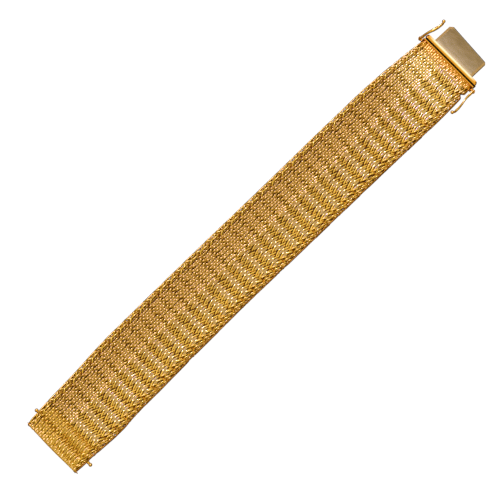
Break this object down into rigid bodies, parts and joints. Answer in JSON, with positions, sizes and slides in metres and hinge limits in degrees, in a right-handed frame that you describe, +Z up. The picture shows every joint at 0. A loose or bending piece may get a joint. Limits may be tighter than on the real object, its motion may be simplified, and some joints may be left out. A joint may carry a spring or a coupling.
{
  "type": "gold bracelet",
  "caption": "Flat woven gold strap bracelet, lying open, with a box clasp, a folded spring tongue and two wire safety latches.",
  "frame": {"origin": "on the table, under the middle of the open bracelet's box", "axes": "+X along the strap from the catch box to the tongue, +Y to the strap's left edge, +Z up out of its front"},
  "size_m": [0.1868, 0.0265, 0.0034],
  "materials": {
    "woven_gold": "fine woven wire, softly shining",
    "polished_gold": "polished",
    "pale_gold": "brushed, paler alloy",
    "wire_gold": "drawn wire, polished"
  },
  "bodies": {
    "strap": {"mesh_band": "woven_gold", "catch_box": "polished_gold", "end_cap": "polished_gold", "tongue": "pale_gold", "thumb_bar": "polished_gold"},
    "left_safety": {"latch_left": "wire_gold"},
    "right_safety": {"latch_right": "wire_gold"}
  },
  "joints": [
    {"name": "left_latch_hinge", "type": "hinge", "parent": "strap", "child": "left_safety", "pos_m": [0.0828, 0.01215, 0.0016], "axis": [0, 0, 1], "range_deg": [-2, 178]},
    {"name": "right_latch_hinge", "type": "hinge", "parent": "strap", "child": "right_safety", "pos_m": [0.08229, -0.01214, 0.0016], "axis": [0, 0, 1], "range_deg": [-2, 188]}
  ]
}
